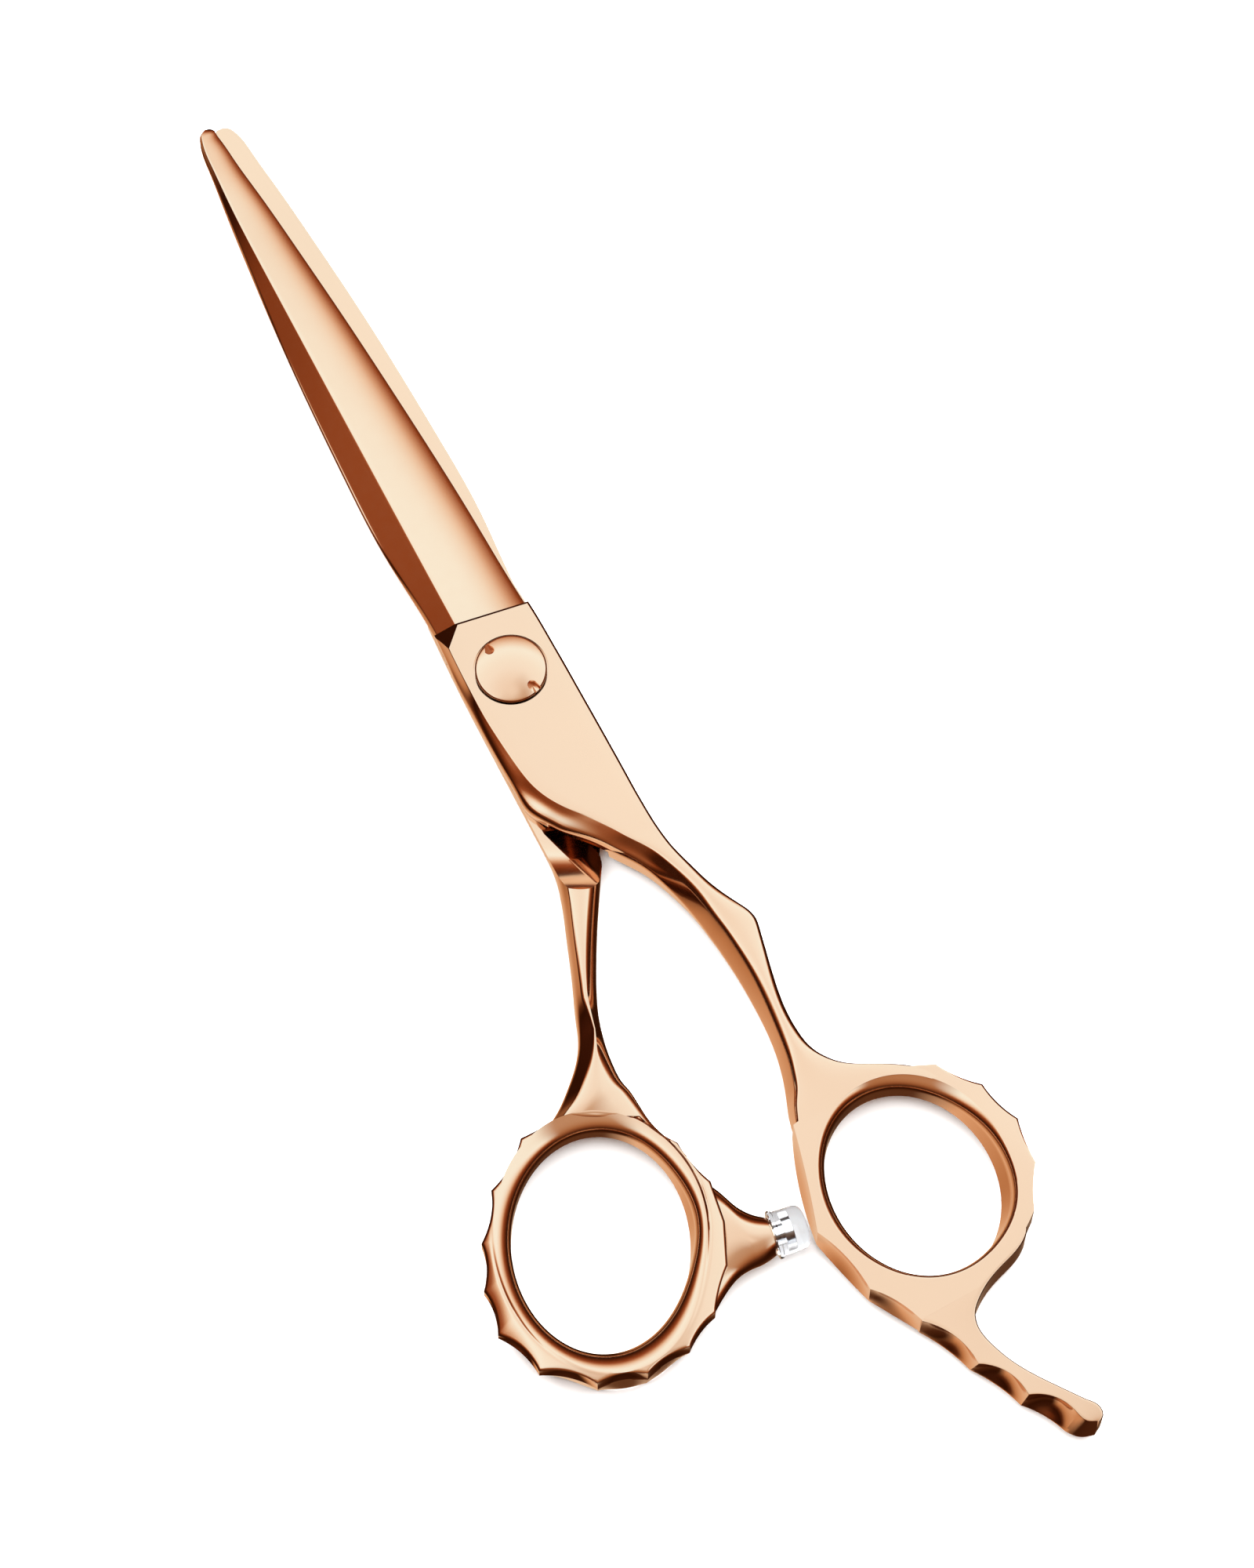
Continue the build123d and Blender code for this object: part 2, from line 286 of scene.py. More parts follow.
class Ring:
    """Finger ring: wall round the hole, crown that ends in a crisp crest, band and fluted rim.

    cusps are x, y and the depths of the flute that follows, at the rim's top and bottom. These
    are functions of the direction from the hole's centre:
      crown   width of the rounded part inside the crest
      lean    its slope at the crest, in degrees
      flare   how much wider the hole is above than below
      groove  depth of the crease just outside the crest
      fall    slope of the band down to the rim
      drop    depth of the rounding along the rim
    foot is the height of the rim's lower edge.
    """

    LOW = 0.05                  # underside of the ring
    UNDERCUT = 1.6              # extra height of the rounding under the hole's edge
    CREASE, CREASE_WIDTH = 0.35, 0.17
    RIM_ROUNDING = 0.3          # width of the rounding along the rim

    def __init__(self, hole, cusps, crown, lean, flare, groove, fall, drop, foot):
        self.hole = hole
        self.cusps = cusps
        self.crown = crown
        self.lean = lean
        self.flare = flare
        self.groove = groove
        self.fall = fall
        self.drop = drop
        self.foot = foot

    def body(self, name, steps=14):
        """The ring as one closed skin, with the given number of sections for each flute."""
        pts = np.array([c[:2] for c in self.cusps])
        loops = []
        for i, (_, _, deep, shallow) in enumerate(self.cusps):
            a, b = pts[i], pts[(i + 1) % len(pts)]
            inward = self.hole.centre - (a + b) / 2
            inward /= np.linalg.norm(inward)
            for t in np.arange(steps) / steps:
                bow = 4 * t * (1 - t)
                straight = a + (b - a) * t
                upper = straight + inward * deep * bow
                lower = straight + inward * shallow * bow
                loops.append(self.section(upper, lower, 1.1 * max(deep, 0) * bow))
        return skin(name, loops, around=True)

    def section(self, upper, lower, hollow):
        """One section through the points of the rim's upper and lower edge.

        It goes from under the crest round the hole's wall and over the crown to the band, down
        the rim, which is hollowed, and back along the underside.
        """
        ray = upper - self.hole.centre
        ray /= np.linalg.norm(ray)
        angle = math.atan2(ray[1], ray[0])
        reach = self.hole.reach(ray)
        edge = self.hole.centre + ray * reach
        width = self.crown(angle)
        flare = self.flare(angle)
        tall = 0.8 + 0.38 * width       # height of the crown above the wall
        lean = math.radians(self.lean(angle))
        hold = 0.55 * (width - flare)
        inner = (width - hold * math.cos(lean), -hold * math.sin(lean))
        over = curve((flare, -tall), (flare + 0.02, -0.45 * tall), inner, (width, 0))
        deep = tall + self.UNDERCUT
        under = curve(
            (0, -deep), (0.42 * width, -0.68 * deep), (0.85 * width, -0.1 * deep), (width, 0)
        )
        rows = [(*(edge + ray * u), self.LOW - z) for u, z in under[::-1]]
        wall_low, wall_top = self.LOW + deep, TOP - tall
        for t in np.linspace(0, 1, 7)[1:-1]:
            rows.append((*(edge + ray * flare * t), wall_low + (wall_top - wall_low) * t))
        rows += [(*(edge + ray * u), TOP + z) for u, z in over]
        start = edge + ray * width
        span = np.linalg.norm(upper - start)
        for t in np.linspace(0, 1, 25)[1:]:
            z = TOP - self.fall(angle) * span * t * (0.7 + 0.3 * t)
            z -= self.groove(angle) * math.exp(-(((t * span - self.CREASE) / self.CREASE_WIDTH) ** 2))
            z -= self.drop(angle) * max(0, 1 - (1 - t) * span / self.RIM_ROUNDING) ** 2
            rows.append((*(start + (upper - start) * t), z))
        end = np.array(rows[-1])
        foot = np.array([*lower, self.foot])
        for t in np.linspace(0, 1, 13)[1:]:
            dent = np.array([*ray, 0]) * hollow * math.sin(math.pi * t)
            rows.append(tuple(end + (foot - end) * t - dent))
        first = np.array(rows[0])
        for t in np.linspace(0, 1, 13)[1:-1]:
            p = foot + (first - foot) * t
            p[2] -= (foot[2] - first[2]) * 0.9 * t * (1 - t)
            rows.append(tuple(p))
        return rows

    def clear(self, body, overlap=0.06):
        """Cuts everything inside the crest out of a body that the ring is joined to."""
        outline = self.hole.outline(lambda angle: self.crown(angle) - overlap)
        boolean(body, prism("inside", outline, -5, 15))


# x, y, and the flute's depth at the top and at the bottom of the rim
FINGER_CUSPS = [
    (3.4, -61.8, 0.15, -0.5), (0.1, -73.8, 0.5, -0.1), (2.2, -82.0, 0.45, 0.0),
    (5.5, -87.5, 0.0, 0.0), (12.8, -87.2, 0.1, 0.1), (17.4, -85.3, -0.2, -0.2), (22.2, -82.2, 0.2, 0.1),
    (24.9, -77.5, 0.2, 0.2), (25.6, -72.2, 0.3, 0.2), (24.0, -67.0, 0.3, 0.2), (20.5, -62.7, 0.0, 0.0),
    (16.2, -60.9, -0.1, -0.1), (12.0, -60.3, -0.1, -0.1), (7.4, -61.0, 0.0, 0.0),
]
THUMB_CUSPS = [
    (-23.7, -49.6, 0.55, 0.5), (-29.2, -53.4, 0.5, 0.5), (-32.8, -58.2, 0.45, 0.45),
    (-34.9, -63.0, 0.45, 0.45), (-35.7, -68.0, 0.6, 0.5), (-33.6, -73.7, 0.55, 0.5),
    (-28.7, -77.9, 0.5, 0.5), (-23.4, -79.4, 0.45, 0.4), (-18.0, -78.8, 0.35, 0.3),
    (-13.8, -76.6, 0.2, 0.2), (-10.2, -72.5, 0.0, 0.0), (-8.2, -68.0, 0.0, 0.0), (-7.5, -63.3, 0.3, 0.3),
    (-8.7, -57.8, 0.25, 0.25), (-11.0, -53.2, 0.0, 0.0), (-15.2, -51.2, 0.0, 0.0), (-18.5, -49.4, 0.1, 0.1),
]

FINGER_RING = Ring(
    Oval(12.2, -73.2, 9.2, 11.05, 2.0),
    FINGER_CUSPS,
    crown=lambda angle: (
        0.45 + 1.15 * lobe(angle, 35, 1.3) + 0.45 * lobe(angle, 180, 0.8) + 0.75 * lobe(angle, -38, 0.5)
    ),
    lean=lambda angle: 12 + 18 * lobe(angle, 65, 1.0) + 14 * lobe(angle, -15, 0.6),
    flare=lambda angle: 0.6 * lobe(angle, 0, 0.6) + 0.8 * lobe(angle, -38, 0.5),
    groove=lambda angle: 0.0,
    fall=lambda angle: 0.05 * lobe(angle, 15, 0.45),
    drop=lambda angle: 0.15 * lobe(angle, 15, 0.45),
    foot=2.0,
)
THUMB_RING = Ring(
    Oval(-21.1, -63.7, 9.75, 12.5, -24.5),
    THUMB_CUSPS,
    crown=lambda angle: (
        1.4 + 0.9 * lobe(angle, 98, 0.9) + 1.5 * lobe(angle, 265, 0.65) + 0.5 * lobe(angle, 0, 0.6)
    ),
    lean=lambda angle: 9 + 15 * lobe(angle, 95, 0.8) + 8 * lobe(angle, 180, 0.7),
    flare=lambda angle: 0.6 * lobe(angle, -12, 0.5),
    groove=lambda angle: 0.16 * lobe(angle, 5, 0.75) + 0.08 * lobe(angle, 195, 0.5),
    fall=lambda angle: 0.2 + 0.3 * lobe(angle, 180, 0.9) - 0.1 * lobe(angle, 272, 0.5),
    drop=lambda angle: 0.1,
    foot=3.9,
)


# ---- finger half ----------------------------------------------------------------------------
# y, left edge and its height, flute line and its height, crest, right edge
FINGER_SHANK = [
    (10.5, -5.5, 4.6, -5.3, 5.3, -5.0, 5.2),
    (5.5, -5.7, 4.6, -5.45, 5.3, -5.1, 5.6),
    (2, -6.0, 4.7, -5.62, 5.35, -5.2, 5.72),
    (-2, -6.15, 5.2, -5.75, 6.05, -5.2, 5.8),
    (-6, -6.15, 5.3, -5.8, 6.05, -5.0, 5.85),
    (-10, -6.05, 5.3, -5.65, 5.95, -4.6, 5.9),
    (-13, -5.95, 5.25, -5.15, 5.87, -4.15, 5.93),
    (-15.5, -5.7, 5.15, -4.25, 5.87, -3.2, 5.95),
    (-17.75, -4.4, 5.1, -2.9, 5.86, -1.75, 5.95),
    (-19.3, -3.3, 5.1, -1.8, 5.86, -0.45, 5.96),
    (-21, -1.7, 5.1, -0.45, 5.86, 0.8, 6.0),
    (-22.5, -0.45, 5.05, 0.65, 5.84, 1.85, 6.05),
    (-24, 0.6, 5.0, 1.65, 5.75, 2.8, 6.15),
    (-26, 2.0, 5.0, 3.0, 5.7, 4.2, 6.4),
    (-28, 3.15, 4.75, 4.1, 5.55, 5.1, 6.85),
    (-30.5, 4.15, 4.3, 5.4, 5.95, 6.0, 7.6),
    (-33, 4.95, 3.9, 6.15, 6.05, 6.65, 8.45),
    (-35.5, 5.5, 3.6, 6.6, 6.15, 7.05, 9.65),
    (-37.2, 5.75, 3.5, 6.9, 6.2, 7.32, 10.55),
    (-38.6, 5.95, 3.4, 7.1, 6.2, 7.5, 10.9),
    (-40.2, 6.12, 3.4, 7.25, 6.2, 7.65, 10.65),
    (-42.5, 6.3, 3.4, 7.4, 6.2, 7.8, 10.15),
    (-45.5, 6.4, 3.4, 7.4, 6.2, 7.8, 9.5),
    (-49, 6.35, 3.4, 7.15, 6.2, 7.55, 8.95),
    (-52, 6.1, 3.4, 6.85, 6.2, 7.25, 8.9),
    (-54.5, 5.65, 3.4, 6.5, 6.2, 6.9, 9.3),
    (-56.5, 5.1, 3.4, 6.0, 6.2, 6.4, 10.4),
    (-58.2, 4.5, 3.4, 5.4, 6.2, 5.8, 12.2),
    (-59.7, 3.95, 3.4, 4.6, 6.25, 4.95, 15.0),
    (-61.2, 3.55, 3.4, 4.0, 6.3, 4.3, 17.6),
    (-62.6, 3.3, 3.4, 3.5, 6.4, 3.75, 19.3),
    (-64.0, 3.15, 3.4, 3.25, 6.4, 3.45, 20.3),
]


def shank_loops(table, top, low, per=5):
    """Full-height sections of a plate and shank, and a column of their y."""
    rows = np.array(table)
    index = np.arange(len(rows))
    dense = spline(index, rows, np.linspace(0, len(rows) - 1, (len(rows) - 1) * per + 1))
    loops = []
    for y, left, left_z, flute, flute_z, crest, right in dense:
        corners = [
            (left, left_z), (flute, flute_z), (crest, top), (right - 0.25, top),
            (right, top - 0.3), (right - 0.05, low + 0.6), (right - 0.5, low),
            (left + 1.0, low), (left + 0.25, low + 1.2),
        ]
        loops.append([(x, y, z) for x, z in corners])
    return np.array(loops), dense[:, :1]


def finger_body():
    """Plate, shank and fan of the finger half before its blade and ring are joined on."""
    loops, y = shank_loops(FINGER_SHANK, TOP, UNDERSIDE)
    plate = np.clip((y + 30) / 6, 0, 1)
    shank = np.clip((-24 - y) / 10, 0, 1) * np.clip((y + 62) / 8, 0, 1)
    radius = np.array([0.25, 0.1, 0.12, 0.15, 0.12, 0.15, 0.2, 0.3, 0.4])
    radius = np.broadcast_to(radius, (len(loops), 9)).copy()
    radius[:, 0:1] += 0.35 * plate
    radius[:, 1:2] += 0.5 * plate
    radius[:, 2:3] += 0.25 * shank
    bulge = np.zeros((len(loops), 9))
    bulge[:, 0:1] = 0.05
    bulge[:, 2:3] = 0.16 * shank
    body = skin("finger_half_steel", profile(loops, bulge, radius))
    boolean(body, slab("end", (5.1, 6.7, TOP), (1.2, 8.1, 0.4)))
    boolean(body, slab("chamfer", (5.1, 6.4, TOP), (0.1, 0.68, 0.8)))
    boolean(body, slab("corner", (-3.2, 7.3, TOP), (-1.0, 1.0, 1.7)))
    return body


def finger_rest():
    """The curved rest behind the finger ring, with flutes ground down its outer side.

    Its first two flutes, up to the third cusp, lie hidden in the ring.
    """
    cusps_top = [(2.6, -76.0), (4.4, -82.0), (5.5, -87.7), (8.7, -94.6), (11.9, -100.0), (15.7, -104.2)]
    cusps_low = [(2.4, -75.5), (4.2, -81.6), (5.5, -87.5), (8.4, -93.7), (11.4, -99.7), (14.2, -104.4)]
    deep = [0.1, 0.3, 0.85, 0.9, 0.8]
    shallow = [0.1, 0.15, 0.25, 0.3, 0.3]
    right = smooth_path(
        [
            (19.5, -80), (20.6, -83.4), (18.8, -85.1), (16.6, -85.95), (14.1, -86.95), (12.2, -88.2),
            (10.95, -89.6), (10.6, -91.2), (11.0, -93.2), (12.0, -95.7), (13.5, -98.2),
            (15.2, -100.5), (17.2, -103.1),
        ], 71
    )
    steps = 14
    left_top, left_low, hollow = [], [], []
    for i in range(5):
        hollow += [-1.2 * deep[i] * 4 * t * (1 - t) for t in np.arange(steps) / steps]
        for a, b, d, out in (
            (cusps_top[i], cusps_top[i + 1], deep[i], left_top),
            (cusps_low[i], cusps_low[i + 1], shallow[i], left_low),
        ):
            a, b = np.array(a), np.array(b)
            inward = np.array([-(b - a)[1], (b - a)[0]]) / np.linalg.norm(b - a)
            for t in np.arange(steps) / steps:
                out.append(a + (b - a) * t + inward * d * 4 * t * (1 - t))
    left_top.append(np.array(cusps_top[-1]))
    left_low.append(np.array(cusps_low[-1]))
    end_top = smooth_path([cusps_top[-1], (16.2, -105.3), (17.2, -105.75)], 9)[1:]
    end_low = smooth_path([cusps_low[-1], (15.3, -105.7), (16.9, -106.2)], 9)[1:]
    end_right = smooth_path([(17.2, -103.1), (18.2, -104.6), (18.0, -105.5), (17.3, -105.95)], 9)[1:]
    left_top += list(end_top)
    left_low += list(end_low)
    right = np.vstack([right, end_right])
    hollow += [0] * (len(right) - len(hollow))
    loops = []
    for i, (lt, ll, r) in enumerate(zip(left_top, left_low, right)):
        t = i / (len(right) - 1)
        top = REST_TOP - 0.9 * max(0, (t - 0.3) / 0.7) ** 1.6
        left_z = top - 1.8 * max(0, 1 - i / steps)
        low = 0.7 + 0.7 * t * t
        loops.append([
            (*ll, low + 0.5), (*lt, left_z), (*r, top), (*(r + (0.12, 0.05)), top - 0.5),
            (*(r + (0.12, 0.05)), low + 0.5), (*(r * 0.97 + ll * 0.03), low),
            (*(ll * 0.9 + r * 0.1), low),
        ])
    bulge = np.zeros((len(loops), 7))
    bulge[:, 0] = hollow
    return skin("rest", profile(loops, bulge, [0.2, 0.08, 0.15, 0.2, 0.3, 0.3, 0.3], steps=12))


def finger_half():
    """The whole finger half as one closed body."""
    body = finger_body()
    shoulder = [
        (30, 30), (-30, 30), (-30, -23.4), (1.0, -23.4), (1.6, -21.6), (3.2, -20.0), (4.7, -18.2),
        (5.8, -16.4), (7, -14), (30, -14),
    ]
    boolean(body, prism("under", shoulder, -5, RIDE + GAP))
    boolean(body, finger_rest(), "UNION")
    FINGER_RING.clear(body)
    boolean(body, blade("upper", 1), "UNION")
    boolean(body, FINGER_RING.body("finger_ring"), "UNION")
    bore = [(BORE_RADIUS, 0), (BORE_RADIUS, SEAT_FLOOR), (SEAT_RADIUS, SEAT_FLOOR), (SEAT_RADIUS, FAR)]
    boolean(body, skin("bore", circles(bore)))
    return body


# ---- thumb half -------------------------------------------------------------------------------
# y, left edge, ridge line and its height, right edge
THUMB_SHANK = [
    (10.5, -5.4, -4.6, 6.0, 5.5),
    (2, -5.8, -4.8, 6.0, 6.0),
    (-6, -5.9, -5.0, 6.0, 6.1),
    (-14, -5.95, -5.0, 6.0, 5.8),
    (-17.5, -5.98, -5.0, 6.0, 4.3),
    (-20, -6.0, -4.95, 6.0, 2.1),
    (-22, -6.1, -5.0, 6.0, 0.5),
    (-24, -6.4, -5.4, 6.0, -0.75),
    (-26, -6.95, -6.0, 6.0, -1.95),
    (-28, -7.6, -6.7, 6.0, -3.15),
    (-31, -8.7, -7.85, 6.0, -4.9),
    (-35, -10.15, -9.3, 6.0, -7.05),
    (-39, -11.75, -10.8, 6.0, -8.95),
    (-42, -12.9, -12.1, 6.0, -9.95),
    (-44.5, -14.6, -13.6, 6.0, -10.45),
    (-46.5, -16.6, -15.4, 6.0, -10.65),
    (-48.2, -18.6, -17.4, 6.0, -10.65),
    (-49.6, -20.8, -19.8, 5.9, -10.35),
    (-51, -22.3, -21.2, 5.6, -10.2),
    (-52.5, -23.0, -22.0, 5.4, -10.1),
    (-54, -23.2, -22.2, 5.3, -9.9),
    (-55.8, -23.2, -22.2, 5.3, -9.35),
    (-57.4, -23.2, -22.2, 5.3, -8.65),
    (-59, -23.2, -22.2, 5.3, -8.2),
]


def thumb_body():
    """Plate, shank and fan of the thumb half."""
    rows = np.array(THUMB_SHANK)
    count = (len(rows) - 1) * 5 + 1
    dense = spline(np.arange(len(rows)), rows, np.linspace(0, len(rows) - 1, count))
    loops = []
    for y, left, ridge, ridge_z, right in dense:
        wide = min(max((-38 - y) / 4, 0), 1)    # the bevel widens where the shank fans out
        ridge += wide
        corners = [
            (left, 3.3), (left + 0.3 - 0.15 * wide, 4.9 - 0.1 * wide), (ridge, ridge_z),
            (right - 0.65, ridge_z - 0.15), (right, 4.6), (right, 2.2), (right - 0.9, UNDERSIDE),
            (left + 0.7, UNDERSIDE), (left + 0.1, 1.6),
        ]
        loops.append([(x, y, z) for x, z in corners])
    bulge = [0.05, 0, 0.3, 0.1, 0, 0, 0, 0, 0]
    radius = [0.5, 0.4, 0.1, 0.7, 0.6, 0.4, 0.3, 0.3, 0.3]
    body = skin("thumb_half_steel", profile(loops, bulge, radius, steps=12))
    boolean(body, scoop())
    return body


def scoop():
    """Cutter that clears the ride plane and sweeps up from it, with a ridge and a steeper right side."""
    start = np.array([-4.9, -19.4])         # where it leaves the ride plane
    rise = np.array([-0.454, -0.891])       # and which way it climbs
    radius, longest = 9.5, 8.6
    base = RIDE - GAP

    def height(x, y):
        d = min(max((x - start[0]) * rise[0] + (y - start[1]) * rise[1], 0), longest)
        return base + radius - math.sqrt(radius**2 - d**2)

    loops = []
    for y in (30, 0, -10, -16, *np.linspace(-17.6, -33, 70)):
        ridge = -5.1 + min(y + 18.2, 0) * 2.5 / -8.6
        steep = 0.7 * min(max((-16.0 - y) / 2.0, 0), 1)
        row = [(ridge - u, height(ridge - u, y)) for u in (20, 12, *np.linspace(7, 0.25, 28))]
        z = height(ridge, y)
        row += [(ridge + u, z - min(u, 3.6) * steep) for u in (0, 1.8, 3.6, 20)]
        row += [(ridge + 20, 15), (ridge - 20, 15)]
        loops.append([(x, y, z) for x, z in row])
    return skin("scoop", loops)


BUMPER_FOOT = (-3.95, -71.1, 3.5)   # where the bumper stands on its boss
BUMPER_TURN = -8                    # degrees from +X


def boss():
    """Short horn on the thumb ring that carries the bumper."""
    # x, y of both sides, half height
    table = [
        (-3.95, -69.15, -73.15, 1.95), (-4.6, -68.65, -73.3, 2.0), (-5.5, -67.8, -73.45, 2.05),
        (-6.5, -66.2, -73.5, 2.1), (-7.3, -64.0, -73.45, 2.1), (-8.5, -61.5, -73.5, 2.0),
        (-10, -59.5, -73.9, 1.8), (-12, -58.5, -75, 1.6), (-14, -58, -76.4, 1.5),
    ]
    rows = spline(np.arange(len(table)), np.array(table), np.linspace(0, len(table) - 1, 41))
    loops = []
    for x, up, down, half in rows:
        angles = np.radians(np.arange(0, 360, 6))
        c, s = np.cos(angles), np.sin(angles)
        y = (up + down) / 2 + (up - down) / 2 * np.sign(c) * abs(c) ** 0.9
        z = BUMPER_FOOT[2] + half * np.sign(s) * abs(s) ** 0.8
        slant = 0.14 * (y - BUMPER_FOOT[1]) * np.clip((x + 9) / 5, 0, 1)
        loops.append(np.c_[x + slant, y, z])
    return skin("boss", loops)


def thumb_half():
    """The whole thumb half as one closed body."""
    body = thumb_body()
    boolean(body, boss(), "UNION")
    THUMB_RING.clear(body)
    boolean(body, blade("lower", -1), "UNION")
    boolean(body, THUMB_RING.body("thumb_ring"), "UNION")
    boolean(body, skin("seat", circles([(NUT_RADIUS, -1), (NUT_RADIUS, FAR)])))
    return body


# ---- screw and bumper -----------------------------------------------------------------------------
def thread(radius, depth, pitch, low, high, segments=96):
    """Loops of a screw thread between two heights."""
    angles = np.arange(segments) * 2 * math.pi / segments
    loops = []
    for z in np.arange(low, high + 1e-6, pitch / 8):
        phase = (z / pitch - angles / (2 * math.pi)) % 1
        groove = depth * (1 - np.abs(2 * phase - 1)) * min(1, (high - z) / pitch, (z - low + 0.1) / pitch)
        r = radius - groove
        loops.append(np.stack([r * np.cos(angles), r * np.sin(angles), np.full(segments, z)], axis=1))
    return loops


def screw():
    """Domed adjusting screw with two driver notches, its shoulder and thread."""
    thread_radius, shoulder_radius, head_radius = 1.5, 2.1, 4.05
    shoulder_foot, head_foot = 3.9, 6.66
    loops = circles([(1.2, 0.6)]) + thread(thread_radius, 0.22, 0.5, 0.7, 3.85)
    loops += circles([
        (thread_radius, shoulder_foot), (2.06, shoulder_foot), (shoulder_radius, 3.95),
        (shoulder_radius, head_foot), (4.0, head_foot), (head_radius, 6.7), (head_radius, 6.86),
        (4.02, 6.95), (3.94, 7.04),
    ])
    loops += circles([(r, 7.06 + 0.52 * (1 - (r / 3.9) ** 2)) for r in np.linspace(3.86, 0.25, 26)])
    obj = skin("adjusting_screw", loops)
    notch_from, notch_half, notch_high, notch_low = 3.2, 0.55, 6.95, 6.76
    for turn in (112, 292):
        c, s = math.cos(math.radians(turn)), math.sin(math.radians(turn))
        outline = []
        for angle in np.linspace(math.pi / 2, 3 * math.pi / 2, 17):
            outline.append((notch_from + notch_half * math.cos(angle), notch_half * math.sin(angle)))
        outline += [(6, -notch_half), (6, notch_half)]
        outline = np.array([(c * x - s * y, s * x + c * y) for x, y in outline])
        bottom = np.maximum(notch_high - 0.4 * (outline[:, 0] - notch_from * c), notch_low)
        boolean(obj, skin("notch", [np.c_[outline, bottom], np.c_[outline, bottom * 0 + FAR]]))
    return obj


def boss_axis(loops):
    """Loops about Z, moved to lie along the axis of the bumper."""
    turn = Matrix.Rotation(math.radians(BUMPER_TURN), 3, "Z") @ Matrix.Rotation(math.radians(90), 3, "Y")
    turn = np.array(turn)
    return [loop @ turn.T + BUMPER_FOOT for loop in loops]


def bumper():
    """Clear bumper: a thin flange at the boss, a slightly tapered body and a domed end."""
    outer = [(0.94, 0.03), (2.55, 0.03), (2.7, 0.08), (2.75, 0.2), (2.74, 0.42), (2.66, 0.52), (2.54, 0.56)]
    outer += [(2.53 - 0.02 * z, z) for z in (0.8, 1.4, 2.0, 2.6)]
    outer += [(1.48 + 0.99 * math.cos(t), 2.86 + 0.99 * math.sin(t)) for t in np.linspace(0.05, 1.5, 12)]
    outer += [(0.8, 3.86), (0.25, 3.87)]
    socket = [(0.93, -1), (0.93, 1.18), (1.53, 1.18), (1.53, 2.18), (1.4, 2.24), (0.2, 2.24)]
    obj = skin("bumper_clear", boss_axis(circles(outer, 72)))
    boolean(obj, skin("socket", boss_axis(circles(socket, 48))))
    return obj


# ---- materials ------------------------------------------------------------------------------------
def polished(name, colour, rough=0.12, vary=0.04, grain=900.0, bump=0.02, metallic=1.0):
    """Polished surface: slight tone drift, faint polishing marks in roughness and bump."""
    mat = bpy.data.materials.new(name)
    mat.use_nodes = True
    nodes, links = mat.node_tree.nodes, mat.node_tree.links
    shader = nodes["Principled BSDF"]
    shader.inputs["Metallic"].default_value = metallic
    coord = nodes.new("ShaderNodeTexCoord")
    drift = nodes.new("ShaderNodeTexNoise")
    drift.inputs["Scale"].default_value = 35.0
    drift.inputs["Detail"].default_value = 3.0
    ramp = nodes.new("ShaderNodeValToRGB")
    ramp.color_ramp.elements[0].color = (*[c * (1 - vary) for c in colour], 1)
    ramp.color_ramp.elements[1].color = (*[min(c * (1 + vary), 1) for c in colour], 1)
    marks = nodes.new("ShaderNodeTexNoise")
    marks.inputs["Scale"].default_value = grain
    marks.inputs["Detail"].default_value = 4.0
    spread = nodes.new("ShaderNodeMapRange")
    spread.inputs["To Min"].default_value = rough * 0.8
    spread.inputs["To Max"].default_value = rough * 1.25
    height = nodes.new("ShaderNodeBump")
    height.inputs["Strength"].default_value = bump
    height.inputs["Distance"].default_value = 0.00002
    links.new(coord.outputs["Object"], drift.inputs["Vector"])
    links.new(coord.outputs["Object"], marks.inputs["Vector"])
    links.new(drift.outputs["Fac"], ramp.inputs["Fac"])
    links.new(ramp.outputs["Color"], shader.inputs["Base Color"])
    links.new(marks.outputs["Fac"], spread.inputs["Value"])
    links.new(spread.outputs["Result"], shader.inputs["Roughness"])
    links.new(marks.outputs["Fac"], height.inputs["Height"])
    links.new(height.outputs["Normal"], shader.inputs["Normal"])
    return mat


SHARP_FROM = 28     # degrees between faces from which an edge is drawn crisp


def finish_piece(obj, mat, body, node):
    """Material, smooth shading with crisp edges, and its place in the frame."""
    obj.data.materials.clear()
    obj.data.materials.append(mat)
    obj.data.shade_smooth()
    obj.data.set_sharp_from_angle(angle=math.radians(SHARP_FROM))
    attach(obj, body)
    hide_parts(node)


def silicone():
    """Clear silicone with faint haze."""
    mat = polished(
        "clear_silicone", (0.66, 0.68, 0.70), rough=0.05, vary=0.01, grain=1500, bump=0.01, metallic=0
    )
    shader = mat.node_tree.nodes["Principled BSDF"]
    shader.inputs["Transmission Weight"].default_value = 1
    shader.inputs["IOR"].default_value = 1.43
    return mat


ROSE_GOLD = polished("rose_gold_coat", (0.90, 0.60, 0.42))
STEEL = polished("plain_steel", (0.62, 0.62, 0.64), rough=0.22)
BRONZE = polished("bush_bronze", (0.72, 0.48, 0.24), rough=0.3)
NYLON = polished("washer_nylon", (0.06, 0.06, 0.065), rough=0.45, metallic=0)

finish_piece(finger_half(), ROSE_GOLD, "finger_half", "finger_blade")
finish_piece(thumb_half(), ROSE_GOLD, "thumb_half", "thumb_blade")
finish_piece(screw(), ROSE_GOLD, "screw", "pivot_screw")
finish_piece(bumper(), silicone(), "thumb_half", "bumper")
# the pieces inside keep their CAD shape and only get a material
INSIDE = {
    "pivot_bush": BRONZE, "head_washer": NYLON, "tension_spring": STEEL, "pivot_nut": ROSE_GOLD,
    "bumper_stud": STEEL,
}
for node_name, mat in INSIDE.items():
    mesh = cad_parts[node_name].data
    mesh.materials.clear()
    mesh.materials.append(mat)


# ---- floor, light and camera ------------------------------------------------------------------------
FLOOR_HALF = 3000
FLOOR_HEIGHT = -0.03        # just clear of the nut's face, which lies at 0

